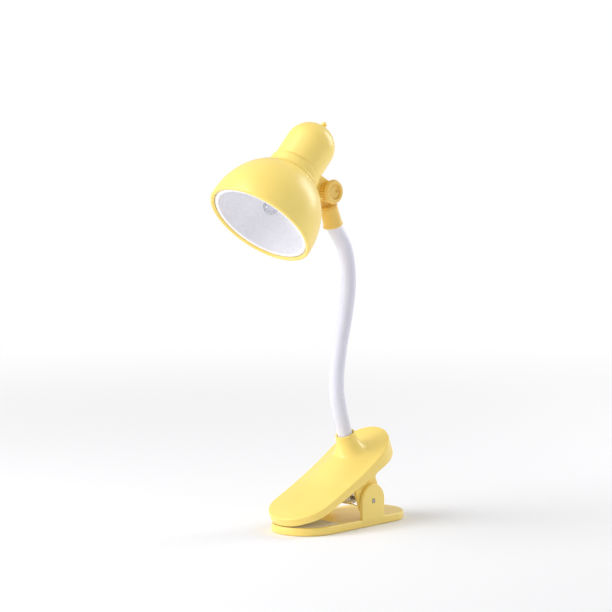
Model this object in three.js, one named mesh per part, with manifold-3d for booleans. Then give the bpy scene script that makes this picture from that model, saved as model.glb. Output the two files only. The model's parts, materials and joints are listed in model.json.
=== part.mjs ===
// A clip-on reading lamp. Millimetres, +Z up, origin at the middle of the lower jaw's underside.
// The clip runs along X with its nose towards -X and its handles towards +X.
import * as THREE from 'three';
import { mergeVertices } from 'three/addons/utils/BufferGeometryUtils.js';
import Module from 'manifold-3d';

const wasm = await Module();
wasm.setup();

// ---- driving dimensions -------------------------------------------------------------------

const gap = 0.3;

const clip = {
  plateLength: 109.4,
  width: 46,
  plateThickness: 5.3,
  pivotX: 9.3,
  pivotZ: 16.8,
  earRadius: 11.1,
  earThickness: 2.6,
  pinRadius: 1.4,
};

const jaw = {
  noseX: -53,
  noseZ: 6.7,
  tilt: THREE.MathUtils.degToRad(22.5),
  length: 105.4,
  noseHeight: 5.7,
  topRise: 10.2,
  undersideRise: 2.5,
  wall: 1.8,
  lugThickness: 2.4,
  lugRadius: 10.5,
  coverThickness: 1.5,
};

// The rubber pads: outlines in plan, with elliptical ends.
const lowerPadSize = { x0: -51.5, x1: -20, width: 39, noseEnd: 18, tailEnd: 3, sunk: 0.6, proud: 0.8 };
const upperPadSize = { x0: 5, x1: 36, width: 38, noseEnd: 16, tailEnd: 3, low: -0.7, high: 0.8 };

// Inside the upper jaw, in its own frame.
const screwSpots = [[43, 17.4], [43, -17.4], [92, 14.8], [92, -14.8]];
const screw = { headRadius: 2, headHeight: 0.6, shankRadius: 0.85, reach: 3.2, pillarRadius: 2.6, bore: 1.2 };
const cell = { x0: 84, x1: 97, halfWidth: 11.6, low: 4.1, high: 6.8 };
const board = { x0: 38, x1: 68, halfWidth: 14, low: 2.9, high: 3.9 };
const socketSlot = { halfWidth: 4.6, low: 5.2, high: 9 };
const gland = { radius: 7.8, height: 2.2 };

const collar = { along: 75.2, rimHeight: 27.2, rimRadius: 6.3, footRadius: 13.5, bore: 5.35 };

const neck = {
  radius: 5,
  bore: 3.6,
  coreRadius: 3.1,
  cupRadius: 5.35,
  sides: 12,
  segments: 7,
  firstJoint: 0.185,
  lastJoint: 0.93,
  coreFootGap: 5.8,
  coreTopGap: 2.4,
};

// The centre line of the neck, from the gland in the upper jaw to the inside of the ferrule.
const neckLine = new THREE.CatmullRomCurve3([
  new THREE.Vector3(14.6, 0, 40.1),
  new THREE.Vector3(6.1, 0, 60.6),
  new THREE.Vector3(-0.8, 0, 83.6),
  new THREE.Vector3(-1.9, 0, 97),
  new THREE.Vector3(1, 0, 116.7),
  new THREE.Vector3(6.4, 0, 138.3),
  new THREE.Vector3(9.8, 0, 160),
  new THREE.Vector3(6.3, 0, 182.2),
  new THREE.Vector3(-4.9, 0, 198.6),
  new THREE.Vector3(-7, 0, 203.4),
], false, 'centripetal');

const ferrule = {
  x: -5.6,
  z: 198.8,
  yaw: THREE.MathUtils.degToRad(-3.6),
  tilt: THREE.MathUtils.degToRad(18.1),
  mouthRadius: 6.3,
  topRadius: 5.6,
  mouthBore: 5.7,
  mouthDepth: 7,
  leadBore: 1.6,
  shoulder: 13.5,
  hinge: 23.8,
  tongueRadius: 8.2,
  tongueInner: 1.2,
  tongueOuter: 4.4,
};

const bolt = { radius: 1.9, headRadius: 3.3, headThickness: 2 };

const knob = { radius: 7.25, valley: 6.8, ridges: 22, back: -2.2, front: -8.8, bore: 2.2 };

// The head is measured along its own axis, up from the plane of the rim.
const head = {
  elevation: THREE.MathUtils.degToRad(47.2),
  hingeOut: 30.2,
  hingeUp: 54.4,
  rimRadius: 36.5,
  bulgeUp: 3,
  bulgeLength: 44,
  wall: 1.6,
  bowlTop: 42.2,
  bowlTopRadius: 17.4,
  throat: 9.5,
  ringTop: 48.3,
  capRadius: 16.5,
  capWall: 1.8,
  capBase: 48.7,
  domeUp: 66,
  armInner: -1.9,
  armOuter: 0.9,
  armEye: 7.4,
};

const reflector = { rim: 34.3, flangeLow: 1.2, mouth: 31.4, depth: 36, wall: 1.2, throat: 7 };

const lens = { radius: 5, wall: 1, base: 36.4, tip: 10.5 };

const button = { ball: 1.95, ballUp: 85.5, stem: 1.1, stemLow: 77.9, hole: 1.5 };

const lampHolder = { radius: 6.4, low: 38.6, high: 47, flangeRadius: 9.2, flangeLow: 43, flangeHigh: 45 };

const ledPlate = { radius: 5.6, low: 36.8, high: 38.2, chipHalf: 1.6, chipLow: 35.9 };

const driver = { radius: 14.3, low: 52, high: 53.2, wireHole: 3 };

const pushSwitch = { halfWidth: 4, low: 66, high: 76.4, neckRadius: 3.2, neckBore: 1.5, neckTop: 79.8 };

const spring = { wire: 0.6, radius: 4.2, turns: 6, pitch: 1.9 };

// ---- materials ----------------------------------------------------------------------------

function finish(color, roughness, metalness = 0) {
  return new THREE.MeshStandardMaterial({ color, roughness, metalness });
}

const yellowPlastic = finish(0xf3d774, 0.45);
const whiteSilicone = finish(0xededf2, 0.5);
const whitePlastic = finish(0xf4f3f6, 0.4);
const greyRubber = finish(0xcfcac0, 0.8);
const steel = finish(0xb9b6b2, 0.3, 1);
const clearPlastic = finish(0xe9eef2, 0.1);
const greenBoard = finish(0x2f6b46, 0.6);
const greyPouch = finish(0xb4b8bd, 0.35, 0.4);
const blackPlastic = finish(0x222226, 0.5);

// ---- solids -------------------------------------------------------------------------------

function solidOf(geometry) {
  const bare = geometry.clone();
  bare.deleteAttribute('normal');
  bare.deleteAttribute('uv');
  const merged = mergeVertices(bare, 1e-4);
  const corners = merged.index.array;
  const triVerts = [];
  for (let i = 0; i < corners.length; i += 3) {
    const [a, b, c] = [corners[i], corners[i + 1], corners[i + 2]];
    if (a !== b && b !== c && a !== c) triVerts.push(a, b, c);
  }
  return new wasm.Manifold(new wasm.Mesh({
    numProp: 3,
    vertProperties: new Float32Array(merged.attributes.position.array),
    triVerts: new Uint32Array(triVerts),
  }));
}

function geometryOf(solid) {
  const mesh = solid.getMesh();
  const geometry = new THREE.BufferGeometry();
  geometry.setAttribute('position', new THREE.BufferAttribute(mesh.vertProperties, 3));
  geometry.setIndex(new THREE.BufferAttribute(mesh.triVerts, 1));
  return geometry;
}

function join(...solids) {
  return solids.reduce((whole, solid) => whole.add(solid));
}

function cut(solid, ...tools) {
  return tools.reduce((rest, tool) => rest.subtract(tool), solid);
}

function box(x0, x1, y0, y1, z0, z1) {
  const geometry = new THREE.BoxGeometry(x1 - x0, y1 - y0, z1 - z0);
  geometry.translate((x0 + x1) / 2, (y0 + y1) / 2, (z0 + z1) / 2);
  return solidOf(geometry);
}

// A body of revolution about Z. The profile is [radius, z] pairs that start and end on the axis,
// or close on themselves.
function turned(profile, sides = 32) {
  const area = profile.reduce((sum, [r, z], i) => {
    const [nextR, nextZ] = profile[(i + 1) % profile.length];
    return sum + r * nextZ - nextR * z;
  }, 0);
  const ordered = area > 0 ? profile : [...profile].reverse();
  const points = ordered.map(([r, z]) => new THREE.Vector2(r, z));
  return solidOf(new THREE.LatheGeometry(points, sides).rotateX(Math.PI / 2));
}

function disc(radius, z0, z1, sides = 32) {
  return turned([[0, z0], [radius, z0], [radius, z1], [0, z1]], sides);
}

function ring(inner, outer, z0, z1, sides = 32) {
  return turned([[inner, z0], [outer, z0], [outer, z1], [inner, z1], [inner, z0]], sides);
}

function ball(radius, sides = 16) {
  return solidOf(new THREE.SphereGeometry(radius, sides, sides / 2));
}

// A round bar along Y between two stations, at a place in the XZ plane.
function barAcross(radius, y0, y1, x, z, sides = 24) {
  const geometry = new THREE.CylinderGeometry(radius, radius, y1 - y0, sides);
  geometry.translate(x, (y0 + y1) / 2, z);
  return solidOf(geometry);
}

// The outline's corners with none repeated, so that its extrusion closes.
function cornersOf(shape, curveSegments) {
  const corners = shape.getPoints(curveSegments);
  return corners.filter((corner, i) => corner.distanceTo(corners[(i + 1) % corners.length]) > 1e-3);
}

function extruded(shape, depth, curveSegments) {
  const outline = new THREE.Shape(cornersOf(shape, curveSegments));
  return new THREE.ExtrudeGeometry(outline, { depth, bevelEnabled: false });
}

// An outline in X and Z, extruded from y0 to y1.
function plateAcross(shape, y0, y1, curveSegments = 12) {
  return solidOf(extruded(shape, y1 - y0, curveSegments).rotateX(Math.PI / 2).translate(0, y1, 0));
}

// An outline in X and Y, extruded from z0 to z1.
function plateUp(shape, z0, z1, curveSegments = 14) {
  return solidOf(extruded(shape, z1 - z0, curveSegments).translate(0, 0, z0));
}

// A slot outline: straight sides with elliptical ends that are end0 and end1 deep.
function slotOutline(x0, x1, width, end0 = width / 2, end1 = width / 2) {
  const shape = new THREE.Shape();
  shape.moveTo(x0 + end0, -width / 2);
  shape.lineTo(x1 - end1, -width / 2);
  shape.absellipse(x1 - end1, 0, end1, width / 2, -Math.PI / 2, Math.PI / 2);
  shape.lineTo(x0 + end0, width / 2);
  shape.absellipse(x0 + end0, 0, end0, width / 2, Math.PI / 2, Math.PI * 1.5);
  return shape;
}

function roundSection(radius, sides) {
  const corners = [];
  for (let i = 0; i < sides; i++) {
    const turn = (i / sides) * Math.PI * 2;
    corners.push(new THREE.Vector2(radius * Math.cos(turn), radius * Math.sin(turn)));
  }
  return new THREE.Shape(corners);
}

function tube(curve, radius, steps, sides) {
  return solidOf(new THREE.ExtrudeGeometry(roundSection(radius, sides), { steps, extrudePath: curve }));
}

function place(group, name, solid, material) {
  const mesh = new THREE.Mesh(geometryOf(solid), material);
  mesh.name = name;
  group.add(mesh);
  return mesh;
}

// ---- lower jaw ----------------------------------------------------------------------------

const lamp = new THREE.Group();

const earOutside = clip.width / 2;
const earInside = earOutside - clip.earThickness;

function earOutline() {
  const shape = new THREE.Shape();
  shape.moveTo(clip.pivotX + clip.earRadius, clip.plateThickness - 1);
  shape.absarc(clip.pivotX, clip.pivotZ, clip.earRadius, 0, Math.PI);
  shape.lineTo(clip.pivotX - clip.earRadius, clip.plateThickness - 1);
  return shape;
}

function padOutline({ x0, x1, width, noseEnd, tailEnd }, margin) {
  return slotOutline(x0 - margin, x1 + margin, width + 2 * margin, noseEnd + margin, tailEnd + margin);
}

function lowerJaw() {
  const half = clip.plateLength / 2;
  const plate = plateUp(slotOutline(-half, half, clip.width), 0, clip.plateThickness);
  const ears = [-earOutside, earInside].map((y) => plateAcross(earOutline(), y, y + clip.earThickness));
  const recessFloor = clip.plateThickness - lowerPadSize.sunk;
  const recess = plateUp(padOutline(lowerPadSize, gap), recessFloor, clip.plateThickness + 1);
  const bore = barAcross(clip.pinRadius + gap, -30, 30, clip.pivotX, clip.pivotZ);
  return cut(join(plate, ...ears), recess, bore);
}

function lowerPad() {
  const low = clip.plateThickness - lowerPadSize.sunk + gap;
  return plateUp(padOutline(lowerPadSize, 0), low, clip.plateThickness + lowerPadSize.proud);
}

function pivotPin() {
  const end = earOutside + 0.2;
  return barAcross(clip.pinRadius, -end, end, clip.pivotX, clip.pivotZ);
}

// One wire: a leg that rests on the lower handle, the coil round the pin, a leg under the upper handle.
function torsionSpring() {
  const startTurn = THREE.MathUtils.degToRad(-108.7);
  const endTurn = THREE.MathUtils.degToRad(139.5 - 360 * (spring.turns + 1));
  const halfWidth = (spring.turns * spring.pitch) / 2;
  const points = [new THREE.Vector3(27, -halfWidth, 6.7), new THREE.Vector3(17, -halfWidth, 9.9)];
  const coilSteps = 12 * spring.turns + 4;
  for (let i = 0; i <= coilSteps; i++) {
    const share = i / coilSteps;
    const turn = startTurn + (endTurn - startTurn) * share;
    points.push(new THREE.Vector3(
      clip.pivotX + spring.radius * Math.cos(turn),
      -halfWidth + 2 * halfWidth * share,
      clip.pivotZ + spring.radius * Math.sin(turn),
    ));
  }
  points.push(new THREE.Vector3(16.5, halfWidth, 29), new THREE.Vector3(25.6, halfWidth, 38.6));
  return tube(new THREE.CatmullRomCurve3(points), spring.wire, 96, 5);
}

place(lamp, 'lower_jaw', lowerJaw(), yellowPlastic);
place(lamp, 'lower_pad', lowerPad(), greyRubber);
place(lamp, 'pivot_pin', pivotPin(), steel);
place(lamp, 'torsion_spring', torsionSpring(), steel);

// ---- upper jaw ----------------------------------------------------------------------------
// Its own frame: X along the underside from the nose, Z square to the underside.

const upperJaw = new THREE.Group();
upperJaw.position.set(jaw.noseX, 0, jaw.noseZ);
upperJaw.rotation.y = -jaw.tilt;
lamp.add(upperJaw);

const pivot = new THREE.Vector2(clip.pivotX - jaw.noseX, clip.pivotZ - jaw.noseZ)
  .rotateAround(new THREE.Vector2(), -jaw.tilt);

function rise(x, amount) {
  return amount * (x / jaw.length) ** 3;
}

function undersideAt(x) {
  return rise(x, jaw.undersideRise);
}

function topAt(x) {
  return jaw.noseHeight + rise(x, jaw.topRise);
}

// The side view of a slice of the jaw between two curves.
function sideOutline(x0, x1, low, high) {
  const stations = 10;
  const along = (i) => x0 + ((x1 - x0) * i) / stations;
  const shape = new THREE.Shape();
  shape.moveTo(x0, low(x0));
  for (let i = 1; i <= stations; i++) shape.lineTo(along(i), low(along(i)));
  for (let i = stations; i >= 0; i--) shape.lineTo(along(i), high(along(i)));
  return shape;
}

// The jaw's plan, drawn in from its outside by an inset, between two curves in side view.
function jawSlice(inset, low, high) {
  const half = clip.width / 2;
  const [noseDepth, tailDepth] = [half * 0.86 - inset, half * 1.1 - inset];
  const plan = slotOutline(inset, jaw.length - inset, clip.width - 2 * inset, noseDepth, tailDepth);
  const side = plateAcross(sideOutline(-1, jaw.length + 1, low, high), -half - 1, half + 1);
  return plateUp(plan, -3, 30).intersect(side);
}

const lugOutside = earInside - gap;
const lugInside = lugOutside - jaw.lugThickness;

// A lug, square to the underside, with a round end about the pin.
function lugOutline() {
  const shape = new THREE.Shape();
  shape.moveTo(pivot.x - jaw.lugRadius, 2);
  shape.lineTo(pivot.x - jaw.lugRadius, pivot.y);
  shape.absarc(pivot.x, pivot.y, jaw.lugRadius, Math.PI, 2 * Math.PI);
  shape.lineTo(pivot.x + jaw.lugRadius, 2);
  return shape;
}

// The root that carries a lug out to the side wall, sloping outwards as it goes up.
function lugRoot(side) {
  const wallY = clip.width / 2 - 0.1;
  const shape = new THREE.Shape();
  shape.moveTo(side * lugInside, -2.6);
  shape.lineTo(side * lugOutside, -2.6);
  shape.lineTo(side * wallY, 0.9);
  shape.lineTo(side * wallY, 2.4);
  shape.lineTo(side * lugInside, 2.4);
  const geometry = extruded(shape, 2 * jaw.lugRadius, 1).rotateX(Math.PI / 2).rotateZ(Math.PI / 2);
  return solidOf(geometry.translate(pivot.x - jaw.lugRadius, 0, 0));
}

function lugs() {
  const plates = [-lugOutside, lugInside].map((y) => plateAcross(lugOutline(), y, y + jaw.lugThickness));
  return join(...plates, lugRoot(-1), lugRoot(1));
}

function collarFlare() {
  const { rimHeight, rimRadius, footRadius } = collar;
  const low = topAt(collar.along) - 2.2;
  const profile = [[0, low], [footRadius, low]];
  const steps = 7;
  for (let i = 0; i <= steps; i++) {
    const share = i / steps;
    const up = low + 2 + (rimHeight - low - 2) * share;
    profile.push([rimRadius + (footRadius - rimRadius) * (1 - share) ** 2.6, up]);
  }
  profile.push([0, rimHeight]);
  return turned(profile, 24).translate([collar.along, 0, 0]);
}

function screwPillar([x, y]) {
  const low = undersideAt(x) + jaw.coverThickness + 0.9;
  return disc(screw.pillarRadius, low, topAt(x) - 1, 12).translate([x, y, 0]);
}

function jawShell() {
  const outside = jawSlice(0, undersideAt, topAt);
  const inside = jawSlice(jaw.wall, (x) => undersideAt(x) - 2, (x) => topAt(x) - jaw.wall);
  const shell = join(cut(outside, inside), lugs(), collarFlare(), ...screwSpots.map(screwPillar));
  const neckBore = disc(collar.bore, -1, 40, 24).translate([collar.along, 0, 0]);
  const pinBore = barAcross(clip.pinRadius + 0.4, -30, 30, pivot.x, pivot.y);
  const socketHole = box(
    jaw.length - 8, jaw.length + 2,
    -socketSlot.halfWidth - gap, socketSlot.halfWidth + gap,
    socketSlot.low - gap, socketSlot.high + gap,
  );
  const screwBores = screwSpots.map(
    ([x, y]) => disc(screw.bore, -1, topAt(x) - 2.2, 12).translate([x, y, 0]),
  );
  return cut(shell, neckBore, pinBore, socketHole, ...screwBores);
}

function jawCover() {
  const coverLow = (x) => undersideAt(x) + 0.3;
  const coverHigh = (x) => coverLow(x) + jaw.coverThickness;
  const plate = jawSlice(jaw.wall + gap, coverLow, coverHigh);
  const notches = [-30, lugInside - gap].map((y) => box(
    pivot.x - jaw.lugRadius - gap, pivot.x + jaw.lugRadius + gap, y, y + 30 - lugInside + gap, -3, 4,
  ));
  const screwHoles = screwSpots.map(([x, y]) => disc(screw.bore + 0.1, -1, 8, 12).translate([x, y, 0]));
  const sinkRadius = screw.headRadius + 0.4;
  const screwSinks = screwSpots.map(
    ([x, y]) => disc(sinkRadius, -1, undersideAt(x) + 1, 12).translate([x, y, 0]),
  );
  const padStep = plateUp(padOutline(upperPadSize, gap), -1, upperPadSize.high + gap);
  return cut(plate, ...notches, ...screwHoles, ...screwSinks, padStep);
}

function coverScrew([x]) {
  const low = undersideAt(x) + 0.2;
  const shank = disc(screw.shankRadius, low + 0.3, low + screw.reach, 12);
  return join(disc(screw.headRadius, low, low + screw.headHeight, 12), shank);
}

place(upperJaw, 'upper_jaw_shell', jawShell(), yellowPlastic);
place(upperJaw, 'upper_jaw_cover', jawCover(), yellowPlastic);
screwSpots.forEach((spot, i) => {
  place(upperJaw, `cover_screw_${i + 1}`, coverScrew(spot), steel).position.set(spot[0], spot[1], 0);
});

function batteryCell() {
  return box(cell.x0, cell.x1, -cell.halfWidth, cell.halfWidth, cell.low, cell.high);
}

function chargeBoard() {
  const chip = box(board.x0 + 4, board.x0 + 9, -3, 3, board.high - 0.1, board.high + 0.6);
  return join(box(board.x0, board.x1, -board.halfWidth, board.halfWidth, board.low, board.high), chip);
}

// The socket's metal shell, open to the outside, with its tongue.
function chargeSocket() {
  const { halfWidth, low, high } = socketSlot;
  const [x0, x1] = [jaw.length - 7, jaw.length - 1.2];
  const shell = box(x0, x1, -halfWidth, halfWidth, low, high);
  const mouth = box(x0 + 1, x1 + 1, -halfWidth + 0.5, halfWidth - 0.5, low + 0.5, high - 0.5);
  const tongue = box(x0 + 0.5, x1 - 0.8, -3, 3, 6.8, 7.4);
  return join(cut(shell, mouth), tongue);
}

function glandNut() {
  const top = topAt(collar.along) - jaw.wall - 1.3;
  const body = disc(gland.radius, top - gland.height, top, 6);
  const nut = cut(body, disc(collar.bore + 0.1, top - 3, top + 1, 24));
  return nut.translate([collar.along, 0, 0]);
}

function upperPad() {
  return plateUp(padOutline(upperPadSize, 0), upperPadSize.low, upperPadSize.high);
}

place(upperJaw, 'upper_pad', upperPad(), greyRubber);
place(upperJaw, 'battery_cell', batteryCell(), greyPouch);
place(upperJaw, 'charge_board', chargeBoard(), greenBoard);
place(upperJaw, 'charge_socket', chargeSocket(), steel);
place(upperJaw, 'gland_nut', glandNut(), steel);

// ---- neck ---------------------------------------------------------------------------------
// The flexible neck is cut into short lengths, with a ball on the top of each that turns in a cup
// in the foot of the next.

function neckStretch(from, to) {
  const stations = [0, 1, 2, 3, 4].map((i) => neckLine.getPointAt(from + ((to - from) * i) / 4));
  return new THREE.CatmullRomCurve3(stations);
}

function neckSleeve(from, to, hasCup, hasBall) {
  const foot = neckLine.getPointAt(from);
  const top = neckLine.getPointAt(to);
  let sleeve = tube(neckStretch(from, to), neck.radius, 5, neck.sides);
  if (hasBall) sleeve = join(sleeve, ball(neck.radius, neck.sides).translate(top.toArray()));
  if (hasCup) sleeve = cut(sleeve, ball(neck.cupRadius, neck.sides).translate(foot.toArray()));
  const boreFrom = Math.max(0, from - 0.03);
  const boreTo = Math.min(1, to + 0.03);
  const footEnd = disc(neck.bore, -2, 2, 8);
  const bore = tube(neckStretch(boreFrom, boreTo), neck.bore, 5, 8);
  return hasCup && hasBall ? cut(sleeve, bore) : cut(sleeve, bore, openEnd(hasCup ? 1 : 0, footEnd));
}

// A short cutter that opens the bore at one of the neck's own two ends.
function openEnd(at, cutter) {
  const centre = neckLine.getPointAt(at);
  const lean = neckLine.getTangentAt(at);
  const degrees = THREE.MathUtils.radToDeg(Math.atan2(lean.x, lean.z));
  return cutter.rotate([0, degrees, 0]).translate(centre.toArray());
}

// The wire stops short of both joints, and starts clear of the ball on the length below.
function neckCore(from, to) {
  const length = neckLine.getLength();
  const foot = from + neck.coreFootGap / length;
  const top = to - neck.coreTopGap / length;
  return tube(neckStretch(foot, top), neck.coreRadius, 4, 8);
}

const neckCuts = [0];
for (let i = 0; i < neck.segments - 1; i++) {
  neckCuts.push(neck.firstJoint + ((neck.lastJoint - neck.firstJoint) * i) / (neck.segments - 2));
}
neckCuts.push(1);
for (let i = 0; i < neck.segments; i++) {
  const [from, to] = [neckCuts[i], neckCuts[i + 1]];
  const isLast = i === neck.segments - 1;
  place(lamp, `neck_sleeve_${i + 1}`, neckSleeve(from, to, i > 0, !isLast), whiteSilicone);
  if (!isLast) place(lamp, `neck_core_${i + 1}`, neckCore(from, to), steel);
}

// ---- ferrule, bolt and knob ---------------------------------------------------------------
// The fittings above the neck, turned a little about the vertical.

const fittings = new THREE.Group();
fittings.position.set(ferrule.x, 0, ferrule.z);
fittings.rotation.z = ferrule.yaw;
lamp.add(fittings);

const ferruleFrame = new THREE.Group();
ferruleFrame.rotation.y = -ferrule.tilt;
fittings.add(ferruleFrame);

function tongueOutline() {
  const { hinge, tongueRadius, topRadius, shoulder } = ferrule;
  const shape = new THREE.Shape();
  shape.moveTo(topRadius - 0.6, shoulder - 2);
  shape.lineTo(tongueRadius, hinge - 1);
  shape.absarc(0, hinge, tongueRadius, 0, Math.PI);
  shape.lineTo(-tongueRadius, hinge - 1);
  shape.lineTo(-topRadius + 0.6, shoulder - 2);
  return shape;
}

function ferruleBody() {
  const { mouthRadius, topRadius, mouthBore, mouthDepth, shoulder, hinge } = ferrule;
  const barrel = turned([[0, 0], [mouthRadius - 0.4, 0], [mouthRadius, 0.4], [mouthRadius, 2],
    [topRadius, shoulder], [0, shoulder]], 28);
  const tongue = plateAcross(tongueOutline(), ferrule.tongueInner, ferrule.tongueOuter);
  const mouth = disc(mouthBore, -1, mouthDepth, 24);
  const leadWay = disc(ferrule.leadBore, mouthDepth - 1, shoulder + 0.6, 12).translate([0, -1.4, 0]);
  const hingeBore = barAcross(bolt.radius + gap, -10, 10, 0, hinge);
  return cut(join(barrel, tongue), mouth, leadWay, hingeBore);
}

function hingeBolt() {
  const headY = ferrule.tongueOuter + gap;
  const shank = barAcross(bolt.radius, knob.front + 2.4, headY + 0.5, 0, 0, 20);
  return join(shank, barAcross(bolt.headRadius, headY, headY + bolt.headThickness, 0, 0, 6));
}

function knobOutline() {
  const ridge = [[0, knob.valley], [0.25, knob.radius], [0.6, knob.radius], [0.85, knob.valley]];
  const corners = [];
  for (let i = 0; i < knob.ridges; i++) {
    for (const [part, radius] of ridge) {
      const turn = ((i + part) / knob.ridges) * Math.PI * 2;
      corners.push(new THREE.Vector2(radius * Math.cos(turn), radius * Math.sin(turn)));
    }
  }
  return new THREE.Shape(corners);
}

function thumbKnob() {
  const body = plateAcross(knobOutline(), knob.front, knob.back, 1);
  const dish = turned([[0, 1.2], [2.4, 0.9], [5.4, 0], [5.4, -1], [0, -1]], 24)
    .rotate([-90, 0, 0]).translate([0, knob.front, 0]);
  const dimple = barAcross(1.1, knob.front - 1, knob.front + 1.8, 2.6, 0, 12);
  const bore = barAcross(knob.bore, knob.front + 2.1, knob.back + 1, 0, 0, 20);
  return cut(body, dish, dimple, bore);
}

place(ferruleFrame, 'ferrule', ferruleBody(), yellowPlastic);
place(ferruleFrame, 'hinge_bolt', hingeBolt(), steel).position.z = ferrule.hinge;
place(ferruleFrame, 'thumb_knob', thumbKnob(), yellowPlastic).position.z = ferrule.hinge;

// ---- head ---------------------------------------------------------------------------------
// Its own frame: Z along the head's axis from the rim to the cap, X towards the hinge.

const headFrame = new THREE.Group();
headFrame.rotation.y = Math.PI / 2 - head.elevation;
const hingeInHead = new THREE.Vector3(head.hingeOut, 0, head.hingeUp).applyEuler(headFrame.rotation);
headFrame.position.set(
  -ferrule.hinge * Math.sin(ferrule.tilt) - hingeInHead.x,
  0,
  ferrule.hinge * Math.cos(ferrule.tilt) - hingeInHead.z,
);
fittings.add(headFrame);

// A bell curve from the rim to the top, thinned by an inset.
function bellCurve(rim, bulge, length, top, inset, steps = 7) {
  const points = [[rim - inset, 0]];
  for (let i = 0; i <= steps; i++) {
    const up = bulge + (top - inset - bulge) * Math.sin((i / steps) * Math.PI / 2);
    const radius = (rim - inset) * Math.sqrt(1 - ((up - bulge) / (length - inset)) ** 2);
    points.push([radius, up]);
  }
  return points;
}

function bellShade() {
  const { rimRadius, bulgeUp, bulgeLength, bowlTop, throat, wall } = head;
  const outer = bellCurve(rimRadius, bulgeUp, bulgeLength, bowlTop, 0);
  const inner = bellCurve(rimRadius, bulgeUp, bulgeLength, bowlTop, wall).reverse();
  const profile = [...outer, [throat, bowlTop], [throat, bowlTop - wall], ...inner];
  return turned([...profile, profile[0]], 28);
}

function shadeReflector() {
  const { rim, flangeLow, mouth, depth, wall, throat } = reflector;
  const curve = (radius, length) => {
    const points = [];
    const steps = 6;
    const topUp = length * Math.sqrt(1 - (throat / radius) ** 2);
    for (let i = 0; i <= steps; i++) {
      const up = topUp * Math.sin((i / steps) * Math.PI / 2);
      points.push([radius * Math.sqrt(1 - (up / length) ** 2), flangeLow + 0.4 + up]);
    }
    return points;
  };
  const inner = curve(mouth, depth);
  const outer = curve(mouth + wall, depth + wall).reverse();
  const flange = [[rim, flangeLow + 1.2], [rim, flangeLow], [mouth, flangeLow]];
  outer[outer.length - 1] = [mouth + wall, flangeLow + 1.2];
  const profile = [...inner, ...outer, ...flange];
  return turned([...profile, profile[0]], 28);
}

function shadeRing() {
  return ring(head.throat, head.bowlTopRadius, head.bowlTop + gap, head.ringTop, 28);
}

function lampCap() {
  const { capRadius, capWall, capBase, domeUp, armInner, armOuter, armEye, hingeOut, hingeUp } = head;
  const outer = [[capRadius, capBase]];
  const inner = [];
  const steps = 5;
  const holeTurn = Math.asin(button.hole / capRadius);
  const innerRadius = capRadius - capWall;
  const innerHoleTurn = Math.asin(button.hole / innerRadius);
  for (let i = 0; i <= steps; i++) {
    const turn = ((Math.PI / 2 - holeTurn) * i) / steps;
    const innerTurn = ((Math.PI / 2 - innerHoleTurn) * i) / steps;
    outer.push([capRadius * Math.cos(turn), domeUp + capRadius * Math.sin(turn)]);
    inner.push([innerRadius * Math.cos(innerTurn), domeUp + innerRadius * Math.sin(innerTurn)]);
  }
  const profile = [...outer, ...inner.reverse(), [innerRadius, capBase]];
  const shell = turned([...profile, profile[0]], 28);
  const arm = new THREE.Shape();
  arm.moveTo(capRadius - 1, hingeUp - 5.6);
  arm.lineTo(hingeOut, hingeUp - armEye);
  arm.absarc(hingeOut, hingeUp, armEye, -Math.PI / 2, Math.PI / 2);
  arm.lineTo(capRadius - 1, hingeUp + 7.6);
  const eye = barAcross(bolt.radius + 0.4, -10, 10, hingeOut, hingeUp, 20);
  return cut(join(shell, plateAcross(arm, armInner, armOuter)), eye);
}

function clearLens() {
  const { radius, wall, base, tip } = lens;
  const profile = [];
  const steps = 4;
  for (let i = 0; i <= steps; i++) {
    const turn = (i / steps) * Math.PI / 2;
    profile.push([radius * Math.sin(turn), tip + radius - radius * Math.cos(turn)]);
  }
  profile.push([radius, base], [radius - wall, base]);
  for (let i = steps; i >= 0; i--) {
    const turn = (i / steps) * Math.PI / 2;
    profile.push([(radius - wall) * Math.sin(turn), tip + radius - (radius - wall) * Math.cos(turn)]);
  }
  return turned(profile, 16);
}

// The holder stands through the ring, which carries it by the flange.
function lampHolderBody() {
  const { radius, low, high, flangeRadius, flangeLow, flangeHigh } = lampHolder;
  return join(disc(radius, low, high, 20), disc(flangeRadius, flangeLow, flangeHigh, 20));
}

function ledBoard() {
  const { radius, low, high, chipHalf, chipLow } = ledPlate;
  return join(disc(radius, low, high, 20), box(-chipHalf, chipHalf, -chipHalf, chipHalf, chipLow, low + 0.1));
}

function driverBoard() {
  const { radius, low, high, wireHole } = driver;
  return cut(disc(radius, low, high, 24), disc(wireHole, low - 1, high + 1, 12));
}

// A push switch, with the neck that holds it to the top of the cap.
function switchBody() {
  const { halfWidth, low, high, neckRadius, neckBore, neckTop } = pushSwitch;
  const bodyBox = box(-halfWidth, halfWidth, -halfWidth, halfWidth, low, high);
  const neckTube = disc(neckRadius, high - 0.1, neckTop, 12);
  return cut(join(bodyBox, neckTube), disc(neckBore, high, neckTop + 1, 12));
}

function switchButton() {
  const stem = disc(button.stem, button.stemLow, button.ballUp, 12);
  return join(stem, ball(button.ball, 12).translate([0, 0, button.ballUp]));
}

place(headFrame, 'bell_shade', bellShade(), yellowPlastic);
place(headFrame, 'shade_reflector', shadeReflector(), whitePlastic);
place(headFrame, 'shade_ring', shadeRing(), yellowPlastic);
place(headFrame, 'lamp_cap', lampCap(), yellowPlastic);
place(headFrame, 'lamp_holder', lampHolderBody(), whitePlastic);
place(headFrame, 'led_board', ledBoard(), greenBoard);
place(headFrame, 'led_lens', clearLens(), clearPlastic);
place(headFrame, 'driver_board', driverBoard(), greenBoard);
place(headFrame, 'switch_body', switchBody(), blackPlastic);
place(headFrame, 'switch_button', switchButton(), yellowPlastic);

export default lamp;
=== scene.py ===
import json
from math import acos, cos, exp, pi, radians, sin, sqrt

import bmesh
import bpy
from mathutils import Matrix, Vector

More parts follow.
